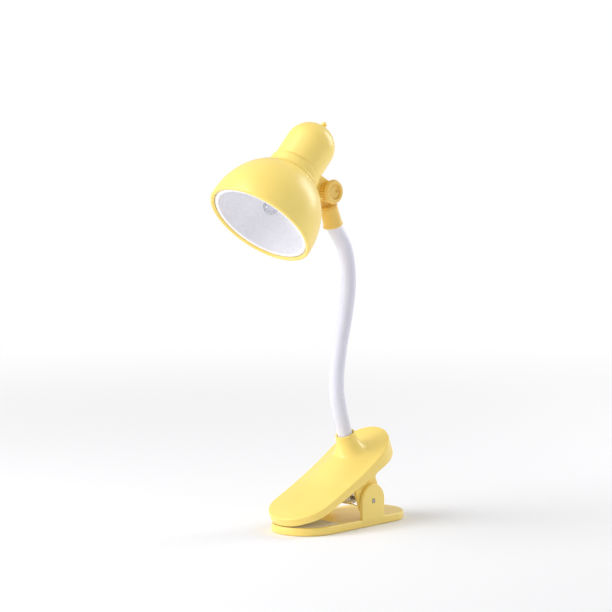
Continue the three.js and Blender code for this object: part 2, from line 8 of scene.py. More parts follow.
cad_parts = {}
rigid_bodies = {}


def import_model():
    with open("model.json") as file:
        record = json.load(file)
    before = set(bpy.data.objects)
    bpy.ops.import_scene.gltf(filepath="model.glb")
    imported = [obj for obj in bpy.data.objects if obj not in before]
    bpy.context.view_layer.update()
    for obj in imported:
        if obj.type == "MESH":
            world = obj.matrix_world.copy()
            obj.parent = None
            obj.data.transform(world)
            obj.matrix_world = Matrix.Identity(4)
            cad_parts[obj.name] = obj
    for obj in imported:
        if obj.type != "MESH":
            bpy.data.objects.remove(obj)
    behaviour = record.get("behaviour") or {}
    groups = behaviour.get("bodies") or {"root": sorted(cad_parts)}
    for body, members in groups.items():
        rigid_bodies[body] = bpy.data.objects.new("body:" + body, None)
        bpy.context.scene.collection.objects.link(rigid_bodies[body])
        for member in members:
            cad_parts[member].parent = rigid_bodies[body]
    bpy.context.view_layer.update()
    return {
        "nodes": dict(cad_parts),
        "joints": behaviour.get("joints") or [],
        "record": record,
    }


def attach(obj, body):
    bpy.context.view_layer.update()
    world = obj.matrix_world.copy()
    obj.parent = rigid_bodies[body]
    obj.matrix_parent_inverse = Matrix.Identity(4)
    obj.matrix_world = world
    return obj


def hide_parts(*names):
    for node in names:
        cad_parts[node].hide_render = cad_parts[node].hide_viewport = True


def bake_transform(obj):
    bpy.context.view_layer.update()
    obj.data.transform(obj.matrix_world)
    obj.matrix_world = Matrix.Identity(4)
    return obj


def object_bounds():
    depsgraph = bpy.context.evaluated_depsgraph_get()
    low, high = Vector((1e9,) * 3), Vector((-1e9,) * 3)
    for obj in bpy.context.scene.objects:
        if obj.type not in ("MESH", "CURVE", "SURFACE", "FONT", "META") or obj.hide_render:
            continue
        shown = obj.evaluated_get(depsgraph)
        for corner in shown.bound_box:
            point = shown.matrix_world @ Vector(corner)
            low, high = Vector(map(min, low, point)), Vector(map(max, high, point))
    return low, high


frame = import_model()

mm = 0.001
joints = {j["name"]: j for j in frame["joints"]}
mounts = {m["name"]: m for m in frame["record"]["mounts"]}


# places: each sub-assembly has its own frame, in millimetres, taken from the joints and mounts

def placeOf(origin, x, y, z):
    turn = Matrix((x, y, z)).transposed().to_4x4()
    return Matrix.Translation(origin) @ turn @ Matrix.Scale(mm, 4)


jawPin = Vector(joints["jaw_hinge"]["pos_m"])
standFrame = Matrix.Scale(mm, 4)
pinFrame = placeOf(jawPin, Vector((1, 0, 0)), Vector((0, 0, -1)), Vector((0, 1, 0)))  # Z along the pin

gripUp = -Vector(mounts["upper_grip"]["axis"]).normalized()
gripAlong = Vector((gripUp.z, 0, -gripUp.x))
gripOrigin = Vector(mounts["upper_grip"]["pos_m"]) - gripAlong * 20 * mm + gripUp * 0.7 * mm
jawFrame = placeOf(gripOrigin, gripAlong, Vector((0, 1, 0)), gripUp)

tiltAt = Vector(joints["head_tilt"]["pos_m"])
tiltAxis = Vector(joints["head_tilt"]["axis"]).normalized()
headUp = -Vector(joints["switch_press"]["axis"]).normalized()
headOut = tiltAxis.cross(headUp).normalized()
hingeOut, hingeUp = 30.2, 54.4
headFrame = placeOf(tiltAt - (headOut * hingeOut + headUp * hingeUp) * mm, headOut, tiltAxis, headUp)

ferruleUp = Matrix.Rotation(radians(-18.1), 3, tiltAxis) @ Vector((0, 0, 1))
ferruleOut = tiltAxis.cross(ferruleUp).normalized()
ferruleFrame = placeOf(tiltAt - ferruleUp * 23.8 * mm, ferruleOut, tiltAxis, ferruleUp)
knobFrame = placeOf(tiltAt, ferruleOut, ferruleUp, -tiltAxis)  # Z out of the knob's face


# camera

def show(name, data):
    shown = bpy.data.objects.new(name, data)
    bpy.context.scene.collection.objects.link(shown)
    return shown


camera = {
    "azimuth": -47.83, "elevation": 5.57, "target": (-0.0320, 0.0, 0.14768), "distance": 1.6199,
    "angle": 14.0,
}


def makeCamera():
    a, e = radians(camera["azimuth"]), radians(camera["elevation"])
    back = Vector((sin(a) * cos(e), -cos(a) * cos(e), sin(e)))
    data = bpy.data.cameras.new("studioCamera")
    data.angle = radians(camera["angle"])
    data.clip_start, data.clip_end = 0.05, 30
    eye = show("studioCamera", data)
    eye.location = Vector(camera["target"]) + back * camera["distance"]
    eye.rotation_euler = (-back).to_track_quat("-Z", "Y").to_euler()
    bpy.context.scene.camera = eye
    return back


lookBack = makeCamera()
print("camera set")


# materials

def linear(red, green, blue):
    def one(c):
        c /= 255
        return c / 12.92 if c <= 0.04045 else ((c + 0.055) / 1.055) ** 2.4
    return (one(red), one(green), one(blue), 1)


def newNode(tree, kind, **settings):
    node = tree.nodes.new(kind)
    for key, value in settings.items():
        setattr(node, key, value)
    return node


def wire(tree, node, values):
    for key, value in values.items():
        if isinstance(value, bpy.types.NodeSocket):
            tree.links.new(value, node.inputs[key])
        else:
            node.inputs[key].default_value = value


def newMaterial(name):
    material = bpy.data.materials.new(name)
    material.use_nodes = True
    tree = material.node_tree
    coords = newNode(tree, "ShaderNodeTexCoord").outputs["Object"]
    return material, tree, tree.nodes["Principled BSDF"], coords


def noiseAt(tree, coords, scale, detail=3.0, rough=0.5):
    node = newNode(tree, "ShaderNodeTexNoise")
    wire(tree, node, {"Scale": scale, "Detail": detail, "Roughness": rough, "Vector": coords})
    return node.outputs["Fac"]


def spread(tree, value, low, high, fromLow=0.3, fromHigh=0.7):
    node = newNode(tree, "ShaderNodeMapRange")
    wire(tree, node, {
        "From Min": fromLow, "From Max": fromHigh, "To Min": low, "To Max": high, "Value": value,
    })
    return node.outputs["Result"]


def mixed(tree, share, first, second):
    node = newNode(tree, "ShaderNodeMix", data_type="RGBA")
    wire(tree, node, {6: first, 7: second, 0: share})
    return node.outputs[2]


def bumped(tree, layers):
    normal = None
    for height, strength, distance in layers:
        node = newNode(tree, "ShaderNodeBump")
        wire(tree, node, {"Strength": strength, "Distance": distance, "Height": height})
        if normal is not None:
            tree.links.new(normal, node.inputs["Normal"])
        normal = node.outputs["Normal"]
    return normal


finishes = {
    "yellowPlastic": {
        "tones": ((250, 219, 117), (252, 225, 128)), "blotch": 26, "rough": (0.3, 0.37),
        "grain": 2600, "grainStrength": 0.10, "peel": 260, "peelStrength": 0.03,
        "subsurface": 0.06,
    },
    "amberPlastic": {
        "tones": ((238, 198, 100), (243, 207, 112)), "blotch": 60, "rough": (0.36, 0.46),
        "grain": 2600, "grainStrength": 0.12, "peel": 400, "peelStrength": 0.04,
        "subsurface": 0.05,
    },
    "whiteSilicone": {
        "tones": ((219, 219, 233), (228, 228, 240)), "blotch": 40, "rough": (0.42, 0.52),
        "grain": 3000, "grainStrength": 0.06, "peel": 300, "peelStrength": 0.04,
        "subsurface": 0.05,
    },
    "whitePlastic": {
        "tones": ((240, 239, 245), (246, 245, 250)), "blotch": 30, "rough": (0.24, 0.32),
        "grain": 3000, "grainStrength": 0.04, "peel": 240, "peelStrength": 0.03,
        "subsurface": 0.04,
    },
    "greyRubber": {
        "tones": ((232, 222, 194), (238, 230, 206)), "blotch": 90, "rough": (0.62, 0.8),
        "grain": 2200, "grainStrength": 0.35, "peel": 700, "peelStrength": 0.1, "subsurface": 0.0,
    },
    "blackPlastic": {
        "tones": ((28, 28, 31), (36, 36, 39)), "blotch": 90, "rough": (0.42, 0.55), "grain": 2200,
        "grainStrength": 0.15, "peel": 500, "peelStrength": 0.05, "subsurface": 0.0,
    },
}


roughPatch = 14
peelDepth = 0.0004
grainDepth = 0.00008


def mouldedFinish(name, spec):
    material, tree, shader, coords = newMaterial(name)
    blotch = spread(tree, noiseAt(tree, coords, spec["blotch"]), 0, 1)
    low, high = spec["tones"]
    tree.links.new(mixed(tree, blotch, linear(*low), linear(*high)), shader.inputs["Base Color"])
    grain = noiseAt(tree, coords, spec["grain"], 2.0)
    patches = noiseAt(tree, coords, spec["blotch"] * roughPatch)
    tree.links.new(spread(tree, patches, *spec["rough"]), shader.inputs["Roughness"])
    peel = noiseAt(tree, coords, spec["peel"], 1.0)
    layers = [(peel, spec["peelStrength"], peelDepth), (grain, spec["grainStrength"], grainDepth)]
    wire(tree, shader, {"Normal": bumped(tree, layers), "IOR": 1.47})
    if spec["subsurface"]:
        wire(tree, shader, {
            "Subsurface Weight": spec["subsurface"],
            "Subsurface Radius": (0.0016, 0.0012, 0.0006), "Subsurface Scale": 1.0,
        })
    return material


def steelFinish(name, stretch, tone=(196, 192, 187)):
    material, tree, shader, coords = newMaterial(name)
    drawn = newNode(tree, "ShaderNodeMapping")
    wire(tree, drawn, {"Scale": stretch, "Vector": coords})
    lines = noiseAt(tree, drawn.outputs["Vector"], 900, 4.0)
    tarnish = spread(tree, noiseAt(tree, coords, 220), 0, 1)
    dull = linear(*(c - 26 for c in tone))
    wire(tree, shader, {
        "Base Color": mixed(tree, tarnish, linear(*tone), dull), "Metallic": 1.0,
        "Roughness": spread(tree, lines, 0.18, 0.38),
        "Normal": bumped(tree, [(lines, 0.12, 0.00005)]),
    })
    return material


def clearFinish():
    material, tree, shader, coords = newMaterial("clearPlastic")
    wire(tree, shader, {"Transmission Weight": 1.0, "IOR": 1.49})
    swirl = noiseAt(tree, coords, 160, 2.0)
    # the base colour is painted dark grey towards the lens's grazing edges: painted shade standing in for
    # the dark outlines a clear lens shows
    edge = newNode(tree, "ShaderNodeLayerWeight")
    edge.inputs["Blend"].default_value = 0.45
    paintedEdgeShade = newNode(tree, "ShaderNodeMix", data_type="RGBA")
    wire(tree, paintedEdgeShade, {
        0: spread(tree, edge.outputs["Facing"], 0, 1, 0.25, 0.8),
        6: mixed(tree, swirl, linear(238, 240, 244), linear(248, 249, 252)),
        7: linear(96, 98, 106),
    })
    wire(tree, shader, {
        "Base Color": paintedEdgeShade.outputs[2], "Roughness": spread(tree, swirl, 0.02, 0.06),
        "Normal": bumped(tree, [(swirl, 0.05, 0.0003)]),
    })
    return material


def boardFinish():
    material, tree, shader, coords = newMaterial("circuitBoard")
    cells = newNode(tree, "ShaderNodeTexVoronoi", feature="DISTANCE_TO_EDGE")
    wire(tree, cells, {"Scale": 420, "Vector": coords})
    tracks = spread(tree, cells.outputs["Distance"], 1, 0, 0.06, 0.12)
    lacquer, track = linear(34, 92, 58), linear(66, 138, 88)
    wire(tree, shader, {
        "Base Color": mixed(tree, tracks, lacquer, track), "Roughness": 0.38,
        "Normal": bumped(tree, [(tracks, 0.2, 0.00005)]),
    })
    return material


def pouchFinish():
    material, tree, shader, coords = newMaterial("cellPouch")
    crease = noiseAt(tree, coords, 240, 5.0, 0.6)
    # the foil is painted darker where the crease noise is low, in the bump's creases: painted shade
    creaseShade, foil = linear(168, 171, 178), linear(206, 208, 214)
    wire(tree, shader, {
        "Base Color": mixed(tree, crease, creaseShade, foil), "Metallic": 0.8,
        "Roughness": spread(tree, crease, 0.26, 0.45),
        "Normal": bumped(tree, [(crease, 0.3, 0.0003)]),
    })
    return material


materials = {name: mouldedFinish(name, spec) for name, spec in finishes.items()}
materials["steel"] = steelFinish("steel", (1, 1, 1))
materials["springSteel"] = steelFinish("springSteel", (1, 0.2, 1), (238, 237, 235))
materials["clearPlastic"] = clearFinish()
materials["circuitBoard"] = boardFinish()
materials["cellPouch"] = pouchFinish()
print("materials made:", len(materials))


# mesh making

def tidyMesh(mesh, sharp=32):
    work = bmesh.new()
    work.from_mesh(mesh)
    bmesh.ops.remove_doubles(work, verts=work.verts, dist=2e-7)
    bmesh.ops.dissolve_degenerate(work, edges=work.edges, dist=1e-7)
    bmesh.ops.recalc_face_normals(work, faces=work.faces)
    work.to_mesh(mesh)
    work.free()
    mesh.shade_smooth()
    mesh.set_sharp_from_angle(angle=radians(sharp))


def newPiece(name, verts, faces, place, sharp=32):
    mesh = bpy.data.meshes.new(name)
    mesh.from_pydata([place @ Vector(v) for v in verts], [], faces)
    tidyMesh(mesh, sharp)
    return show(name, mesh)


def skinned(name, rings, place, loop=False, sharp=32):
    verts, spans = [], []
    for ring in rings:
        spans.append((len(verts), len(ring)))
        verts.extend(ring)
    faces = []
    for (a, countA), (b, countB) in zip(spans, spans[1:] + (spans[:1] if loop else [])):
        count = max(countA, countB)
        for i in range(count):
            j = (i + 1) % count
            if countA == 1:
                faces.append((a, b + i, b + j))
            elif countB == 1:
                faces.append((a + i, b, a + j))
            else:
                faces.append((a + i, b + i, b + j, a + j))
    if not loop:
        for start, count in (spans[0], spans[-1]):
            if count > 1:
                faces.append(tuple(range(start, start + count)))
    return newPiece(name, verts, faces, place, sharp)


def roundRing(radius, sides, height=0.0):
    turns = [2 * pi * i / sides for i in range(sides)]
    return [(radius * cos(t), radius * sin(t), height) for t in turns]


def between(first, last, share):
    return first + (last - first) * share


def turned(name, profile, place, sides=96, loop=False, sharp=32):
    rings = []
    for r, z in profile:
        if r < 1e-6:
            rings.append([(0, 0, z)])
        else:
            rings.append(roundRing(r, sides, z))
    return skinned(name, rings, place, loop, sharp)


def arc(x, z, radius, fromTurn, toTurn, steps=8):
    turns = [radians(fromTurn + (toTurn - fromTurn) * i / steps) for i in range(steps + 1)]
    return [(x + radius * cos(t), z + radius * sin(t)) for t in turns]


def rounded(corners, closed=False, steps=5):
    # each corner is (x, z) or (x, z, radius)
    points = []
    count = len(corners)
    for i, corner in enumerate(corners):
        here = Vector((corner[0], 0, corner[1]))
        radius = corner[2] if len(corner) > 2 else 0
        if not radius or (not closed and i in (0, count - 1)):
            points.append((here.x, here.z))
            continue
        before, after = corners[i - 1], corners[(i + 1) % count]
        toBefore = (Vector((before[0], 0, before[1])) - here).normalized()
        toAfter = (Vector((after[0], 0, after[1])) - here).normalized()
        half = acos(max(-1, min(1, toBefore.dot(toAfter)))) / 2
        middle = here + (toBefore + toAfter).normalized() * (radius / sin(half))
        first = here + toBefore * (radius * cos(half) / sin(half)) - middle
        last = here + toAfter * (radius * cos(half) / sin(half)) - middle
        for k in range(steps + 1):
            point = middle + first.slerp(last, k / steps)
            points.append((point.x, point.z))
    return points


def inset(outline, amount):
    # moves a closed outline in by its corners' mean normals
    area = sum(a[0] * b[1] - b[0] * a[1] for a, b in zip(outline, outline[1:] + outline[:1]))
    side = 1 if area > 0 else -1
    moved = []
    for i, (x, z) in enumerate(outline):
        before, after = outline[i - 1], outline[(i + 1) % len(outline)]
        n1 = Vector((-(z - before[1]), x - before[0])).normalized()
        n2 = Vector((-(after[1] - z), after[0] - x)).normalized()
        normal = (n1 + n2).normalized()
        stretch = min(2, 1 / max(0.3, normal.dot(n1)))
        moved.append((x + normal.x * side * amount * stretch, z + normal.y * side * amount * stretch))
    return moved


def rod(name, radius, low, high, place, sides=40):
    return turned(name, [(0, low), (radius, low), (radius, high), (0, high)], place, sides)


def slab(name, outline, y0, y1, edge, place, steps=4, sharp=32):
    # an outline in X and Z with rounded edges, from y0 to y1
    turns = [pi / 2 * i / steps for i in range(steps + 1)]
    front = [(y0 + edge * (1 - cos(t)), edge * (1 - sin(t))) for t in turns]
    back = [(y1 - edge * (1 - sin(t)), edge * (1 - cos(t))) for t in turns]
    rings = [[(x, y, z) for x, z in inset(outline, amount)] for y, amount in front + back]
    return skinned(name, rings, place, False, sharp)


def joined(name, *pieces):
    work = bmesh.new()
    for piece in pieces:
        work.from_mesh(piece.data)
    mesh = bpy.data.meshes.new(name)
    work.to_mesh(mesh)
    work.free()
    mesh.shade_smooth()
    mesh.set_sharp_from_angle(angle=radians(32))
    for piece in pieces:
        drop(piece)
    return show(name, mesh)


def drop(piece):
    mesh = piece.data
    bpy.data.objects.remove(piece)
    bpy.data.meshes.remove(mesh)


def settled(piece):
    # the evaluated mesh in place of the live modifiers
    bpy.context.view_layer.update()
    solved = piece.evaluated_get(bpy.context.evaluated_depsgraph_get())
    mesh = bpy.data.meshes.new_from_object(solved)
    piece.modifiers.clear()
    old = piece.data
    piece.data = mesh
    bpy.data.meshes.remove(old)
    return piece


def carved(piece, *cutters):
    for cutter in cutters:
        step = piece.modifiers.new("carve", "BOOLEAN")
        step.operation = "DIFFERENCE"
        step.solver = "EXACT"
        step.object = cutter
    settled(piece)
    for cutter in cutters:
        drop(cutter)
    tidyMesh(piece.data)
    return piece


def dress(piece, material, slotName, body, *nodes):
    piece.data.materials.clear()
    piece.data.materials.append(materials[material])
    if nodes:
        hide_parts(*nodes)
    if body:
        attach(piece, body)
    return piece


# geometry nodes

def newTree(name, numbers):
    tree = bpy.data.node_groups.new(name, "GeometryNodeTree")
    tree.interface.new_socket("Geometry", in_out="INPUT", socket_type="NodeSocketGeometry")
    ids = {}
    for label, value in numbers.items():
        kind = {int: "NodeSocketInt", float: "NodeSocketFloat"}.get(type(value), "NodeSocketObject")
        socket = tree.interface.new_socket(label, in_out="INPUT", socket_type=kind)
        ids[label] = socket.identifier
    tree.interface.new_socket("Geometry", in_out="OUTPUT", socket_type="NodeSocketGeometry")
    return tree, ids, tree.nodes.new("NodeGroupInput"), tree.nodes.new("NodeGroupOutput")


def mathNode(tree, operation, first, second=None):
    node = newNode(tree, "ShaderNodeMath", operation=operation)
    wire(tree, node, {0: first} if second is None else {0: first, 1: second})
    return node.outputs[0]


def vectorOf(tree, **values):
    node = newNode(tree, "ShaderNodeCombineXYZ")
    wire(tree, node, values)
    return node.outputs["Vector"]


def closeTree(tree, entry, leave, instances, material, keepHost=True):
    realize = tree.nodes.new("GeometryNodeRealizeInstances")
    join = tree.nodes.new("GeometryNodeJoinGeometry")
    paint = tree.nodes.new("GeometryNodeSetMaterial")
    paint.inputs["Material"].default_value = materials[material]
    tree.links.new(instances, join.inputs["Geometry"])
    if keepHost:
        tree.links.new(entry.outputs["Geometry"], join.inputs["Geometry"])
    tree.links.new(join.outputs["Geometry"], realize.inputs["Geometry"])
    tree.links.new(realize.outputs["Geometry"], paint.inputs["Geometry"])
    tree.links.new(paint.outputs["Geometry"], leave.inputs["Geometry"])


def runTree(piece, tree, ids, numbers, place):
    step = piece.modifiers.new("pattern", "NODES")
    step.node_group = tree
    for label, value in numbers.items():
        step[ids[label]] = value
    settled(piece)
    piece.data.transform(place)
    tidyMesh(piece.data)
    return piece


# lower jaw: a flat plate with two ears, a rubber pad, the pin and its spring

lowerJaw = {
    "half": 54.7, "halfWidth": 23.0, "thick": 5.3, "edge": 1.1, "earRadius": 11.1, "earThick": 2.6,
    "earEdge": 0.55, "pinHole": 1.7, "recess": 0.6, "padGap": 0.3,
}


def slotPlan(x0, x1, halfWidth, end0, end1, arcSteps=28, sideSteps=24):
    # the plan as (point on the outline, point on the spine), all the way round
    pairs = []
    for i in range(arcSteps + 1):
        t = pi / 2 + pi * i / arcSteps
        pairs.append(((x0 + end0 + end0 * cos(t), halfWidth * sin(t)), (x0 + end0, 0)))
    for i in range(1, sideSteps):
        x = x0 + end0 + (x1 - end1 - x0 - end0) * i / sideSteps
        pairs.append(((x, -halfWidth), (x, 0)))
    for i in range(arcSteps + 1):
        t = -pi / 2 + pi * i / arcSteps
        pairs.append(((x1 - end1 + end1 * cos(t), halfWidth * sin(t)), (x1 - end1, 0)))
    for i in range(1, sideSteps):
        x = x1 - end1 + (x0 + end0 - x1 + end1) * i / sideSteps
        pairs.append(((x, halfWidth), (x, 0)))
    return pairs


def planRing(pairs, share, height):
    # share is 1 on the outline and 0 on the spine
    ring = []
    for (px, py), (sx, sy) in pairs:
        x, y = sx + (px - sx) * share, sy + (py - sy) * share
        ring.append((x, y, height(x, share)))
    return ring


def plateRings(pairs, halfWidth, low, high, edge, inner=6):
    flat = 1 - edge / halfWidth
    levels = [(flat * i / inner, low) for i in range(inner)]
    for i in range(5):
        t = pi / 2 * i / 4
        levels.append((1 - edge * (1 - sin(t)) / halfWidth, low + edge * (1 - cos(t))))
    for i in range(7):
        t = pi / 2 * i / 6
        levels.append((1 - edge * (1 - cos(t)) / halfWidth, high - edge * (1 - sin(t))))
    levels += [(flat * i / inner, high) for i in reversed(range(inner))]
    return [planRing(pairs, share, lambda x, s: z) for share, z in levels]


def makeLowerJaw():
    d = lowerJaw
    plan = slotPlan(-d["half"], d["half"], d["halfWidth"], d["halfWidth"], d["halfWidth"], 36, 24)
    plate = skinned("plate", plateRings(plan, d["halfWidth"], 0, d["thick"], d["edge"]), standFrame)
    pinX, pinZ = jawPin.x / mm, jawPin.z / mm
    ears = []
    for side in (-1, 1):
        outline = [(pinX + d["earRadius"], d["edge"] + 0.3)]
        outline += arc(pinX, pinZ, d["earRadius"], 0, 180, 40)
        outline += [(pinX - d["earRadius"], d["edge"] + 0.3)]
        outer, inner = side * (d["halfWidth"] + 0.01), side * (d["halfWidth"] - d["earThick"])
        ear = slab("ear", outline, min(outer, inner), max(outer, inner), d["earEdge"], standFrame)
        hole = rod("hole", d["pinHole"], -30, 30, pinFrame, 48)
        ears.append(carved(ear, hole))
    jaw = joined("lower_jaw_plate", plate, *ears)
    pad, gap = padSizes["lower"], d["padGap"]
    sizes = [pad[key] + gap for key in ("halfWidth", "noseEnd", "tailEnd")]
    recess = slotPlan(pad["x0"] - gap, pad["x1"] + gap, *sizes, 20, 12)
    levels = (d["thick"] - d["recess"], d["thick"] + 2)
    rings = [planRing(recess, 1, lambda x, s: z) for z in levels]
    carved(jaw, skinned("recess", rings, standFrame))
    dress(jaw, "yellowPlastic", "yellow_plastic", "lower_jaw", "lower_jaw")


padSizes = {
    "lower": {
        "x0": -51.5, "x1": -20.0, "halfWidth": 19.5, "noseEnd": 18.0, "tailEnd": 3.0, "low": 5.0,
        "high": 5.75, "ribs": 14, "pitch": 2.05, "firstRib": 3.2, "ribRadius": 0.55,
        "ribSink": 0.2,
    },
    "upper": {
        "x0": 5.0, "x1": 36.0, "halfWidth": 19.0, "noseEnd": 16.0, "tailEnd": 3.0, "low": -0.35,
        "high": 0.8, "ribs": 14, "pitch": 2.0, "firstRib": 3.2, "ribRadius": 0.55, "ribSink": 0.2,
    },
}


def ribTree():
    numbers = {
        "Ribs": 1, "Pitch": 1.0, "First": 1.0, "Left": 1.0, "Nose End": 1.0, "Half Width": 1.0,
        "Rib Radius": 1.0, "Level": 1.0,
    }
    tree, ids, entry, leave = newTree("gripRibs", numbers)
    line = newNode(tree, "GeometryNodeMeshLine", mode="OFFSET")
    wire(tree, line, {
        "Count": entry.outputs["Ribs"], "Offset": vectorOf(tree, X=entry.outputs["Pitch"]),
    })
    first = mathNode(tree, "ADD", entry.outputs["Left"], entry.outputs["First"])
    start = vectorOf(tree, X=first, Z=entry.outputs["Level"])
    tree.links.new(start, line.inputs["Start Location"])
    rib = newNode(tree, "GeometryNodeMeshUVSphere")
    wire(tree, rib, {"Segments": 16, "Rings": 12, "Radius": 1.0})
    where = newNode(tree, "GeometryNodeInputPosition")
    apart = newNode(tree, "ShaderNodeSeparateXYZ")
    tree.links.new(where.outputs["Position"], apart.inputs["Vector"])
    centre = mathNode(tree, "ADD", entry.outputs["Left"], entry.outputs["Nose End"])
    back = mathNode(tree, "MAXIMUM", mathNode(tree, "SUBTRACT", centre, apart.outputs["X"]), 0)
    share = mathNode(tree, "DIVIDE", back, entry.outputs["Nose End"])
    half = mathNode(tree, "SQRT", mathNode(tree, "SUBTRACT", 1, mathNode(tree, "MULTIPLY", share, share)))
    reach = mathNode(tree, "SUBTRACT", mathNode(tree, "MULTIPLY", half, entry.outputs["Half Width"]), 1.6)
    radius = entry.outputs["Rib Radius"]
    size = vectorOf(tree, X=radius, Y=reach, Z=radius)
    spot = newNode(tree, "GeometryNodeInstanceOnPoints")
    wire(tree, spot, {
        "Points": line.outputs["Mesh"], "Instance": rib.outputs["Mesh"], "Scale": size,
    })
    closeTree(tree, entry, leave, spot.outputs["Instances"], "greyRubber")
    return tree, ids


ribs = ribTree()


def makePad(name, spec, body, place, node, faceDown):
    plan = slotPlan(spec["x0"], spec["x1"], spec["halfWidth"], spec["noseEnd"], spec["tailEnd"], 24, 14)
    rings = plateRings(plan, spec["halfWidth"], spec["low"], spec["high"], 0.3, 4)
    pad = skinned(name, rings, Matrix.Identity(4))
    level = spec["low"] + spec["ribSink"] if faceDown else spec["high"] - spec["ribSink"]
    numbers = {
        "Ribs": spec["ribs"], "Pitch": spec["pitch"], "First": spec["firstRib"],
        "Left": spec["x0"], "Nose End": spec["noseEnd"], "Half Width": spec["halfWidth"],
        "Rib Radius": spec["ribRadius"], "Level": level,
    }
    runTree(pad, *ribs, numbers, place)
    dress(pad, "greyRubber", "grey_rubber", body, node)


def makePin():
    half = [(0, 22.6), (0.55, 22.65), (0.85, 23.0), (1.1, 23.2), (1.3, 23.12), (1.4, 22.85), (1.4, 22.0)]
    profile = half + [(1.4, 11), (1.4, 0), (1.4, -11)] + [(r, -z) for r, z in reversed(half)]
    pin = turned("hinge_pin", profile, pinFrame, 48)
    dress(pin, "steel", "steel", "lower_jaw", "pivot_pin")


spring = {
    "wire": 0.6, "radius": 4.2, "turns": 6, "pitch": 1.9, "lowerLeg": ((27, 6.7), (17, 9.9)),
    "upperLeg": ((16.5, 29), (25.6, 38.6)),
}


def tubeRings(points, radius, sides):
    rings, side = [], None
    for i, here in enumerate(points):
        along = (points[min(i + 1, len(points) - 1)] - points[max(i - 1, 0)]).normalized()
        if side is None:
            side = along.orthogonal().normalized()
        side = (side - along * side.dot(along)).normalized()
        other = along.cross(side)
        rings.append([tuple(here + side * x + other * y) for x, y, _ in roundRing(radius, sides)])
    return rings


def smoothLine(points, perSpan=12):
    # the same smooth line through its points as the frame's neck and spring have
    ends = [points[0] * 2 - points[1], *points, points[-1] * 2 - points[-2]]
    line = []
    for p0, p1, p2, p3 in zip(ends, ends[1:], ends[2:], ends[3:]):
        d0, d1, d2 = (sqrt((b - a).length) for a, b in ((p0, p1), (p1, p2), (p2, p3)))
        leave = ((p1 - p0) / d0 - (p2 - p0) / (d0 + d1) + (p2 - p1) / d1) * d1
        arrive = ((p2 - p1) / d1 - (p3 - p1) / (d1 + d2) + (p3 - p2) / d2) * d1
        for k in range(perSpan):
            t = k / perSpan
            square = p2 * 3 - p1 * 3 - leave * 2 - arrive
            cube = p1 * 2 - p2 * 2 + leave + arrive
            line.append(p1 + leave * t + square * t * t + cube * t ** 3)
    line.append(points[-1])
    return line


def makeSpring():
    s = spring
    half = s["turns"] * s["pitch"] / 2
    pinX, pinZ = jawPin.x / mm, jawPin.z / mm
    fromTurn, toTurn = radians(-108.7), radians(139.5 - 360 * (s["turns"] + 1))
    points = [Vector((x, -half, z)) for x, z in s["lowerLeg"]]
    steps = 12 * s["turns"] + 4
    for i in range(steps + 1):
        turn = fromTurn + (toTurn - fromTurn) * i / steps
        x, z = s["radius"] * cos(turn), s["radius"] * sin(turn)
        points.append(Vector((pinX + x, between(-half, half, i / steps), pinZ + z)))
    points += [Vector((x, half, z)) for x, z in s["upperLeg"]]
    line = smoothLine(points, 4)
    wire = skinned("spring_wire", tubeRings(line, s["wire"], 14), standFrame, sharp=50)
    wire.data.materials.append(materials["springSteel"])
    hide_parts("torsion_spring")
    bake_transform(wire)


makeLowerJaw()
makePad("lower_grip_pad", padSizes["lower"], "lower_jaw", standFrame, "lower_pad", False)
makePin()
makeSpring()
print("lower jaw made")


# upper jaw: a crowned shell with a flared collar for the neck, and lugs on the pin

upperJaw = {
    "length": 105.4, "halfWidth": 23.0, "noseEnd": 19.78, "tailEnd": 25.3, "noseHeight": 5.7,
    "topRise": 10.2, "underRise": 2.5, "nose": 1.6, "edge": 0.95, "drop": 0.45, "crown": 1.3,
    "swell": 6.5, "swellAt": 72.0, "swellNose": 27.0, "swellTail": 14.0, "wall": 1.8, "lip": 0.45,
}
collar = {
    "along": 75.2, "rimHeight": 26.4, "rimRadius": 6.7, "footRadius": 12.8, "bore": 5.4,
    "sink": 1.2, "edge": 0.35, "proud": 0.012, "sides": 120, "steps": 44,
}
lug = {"radius": 10.5, "outside": 20.1, "inside": 17.7}


def jawRise(x, amount):
    return amount * max(0, x / upperJaw["length"]) ** 3


def jawUnder(x):
    return jawRise(x, upperJaw["underRise"]) - 0.35 * max(0, 1 - max(0, x) / 4)


def jawEdgeTop(x):
    return upperJaw["noseHeight"] + jawRise(x, upperJaw["topRise"]) - upperJaw["drop"]


def jawTop(x, share):
    # crowned across, with a soft swell under the collar
    u = upperJaw
    reach = u["swellNose"] if x < u["swellAt"] else u["swellTail"]
    across = max(0, 1 - share * share)
    swell = u["swell"] * exp(-((x - u["swellAt"]) / reach) ** 2) * across ** 2
    return jawEdgeTop(x) + u["crown"] * across + swell


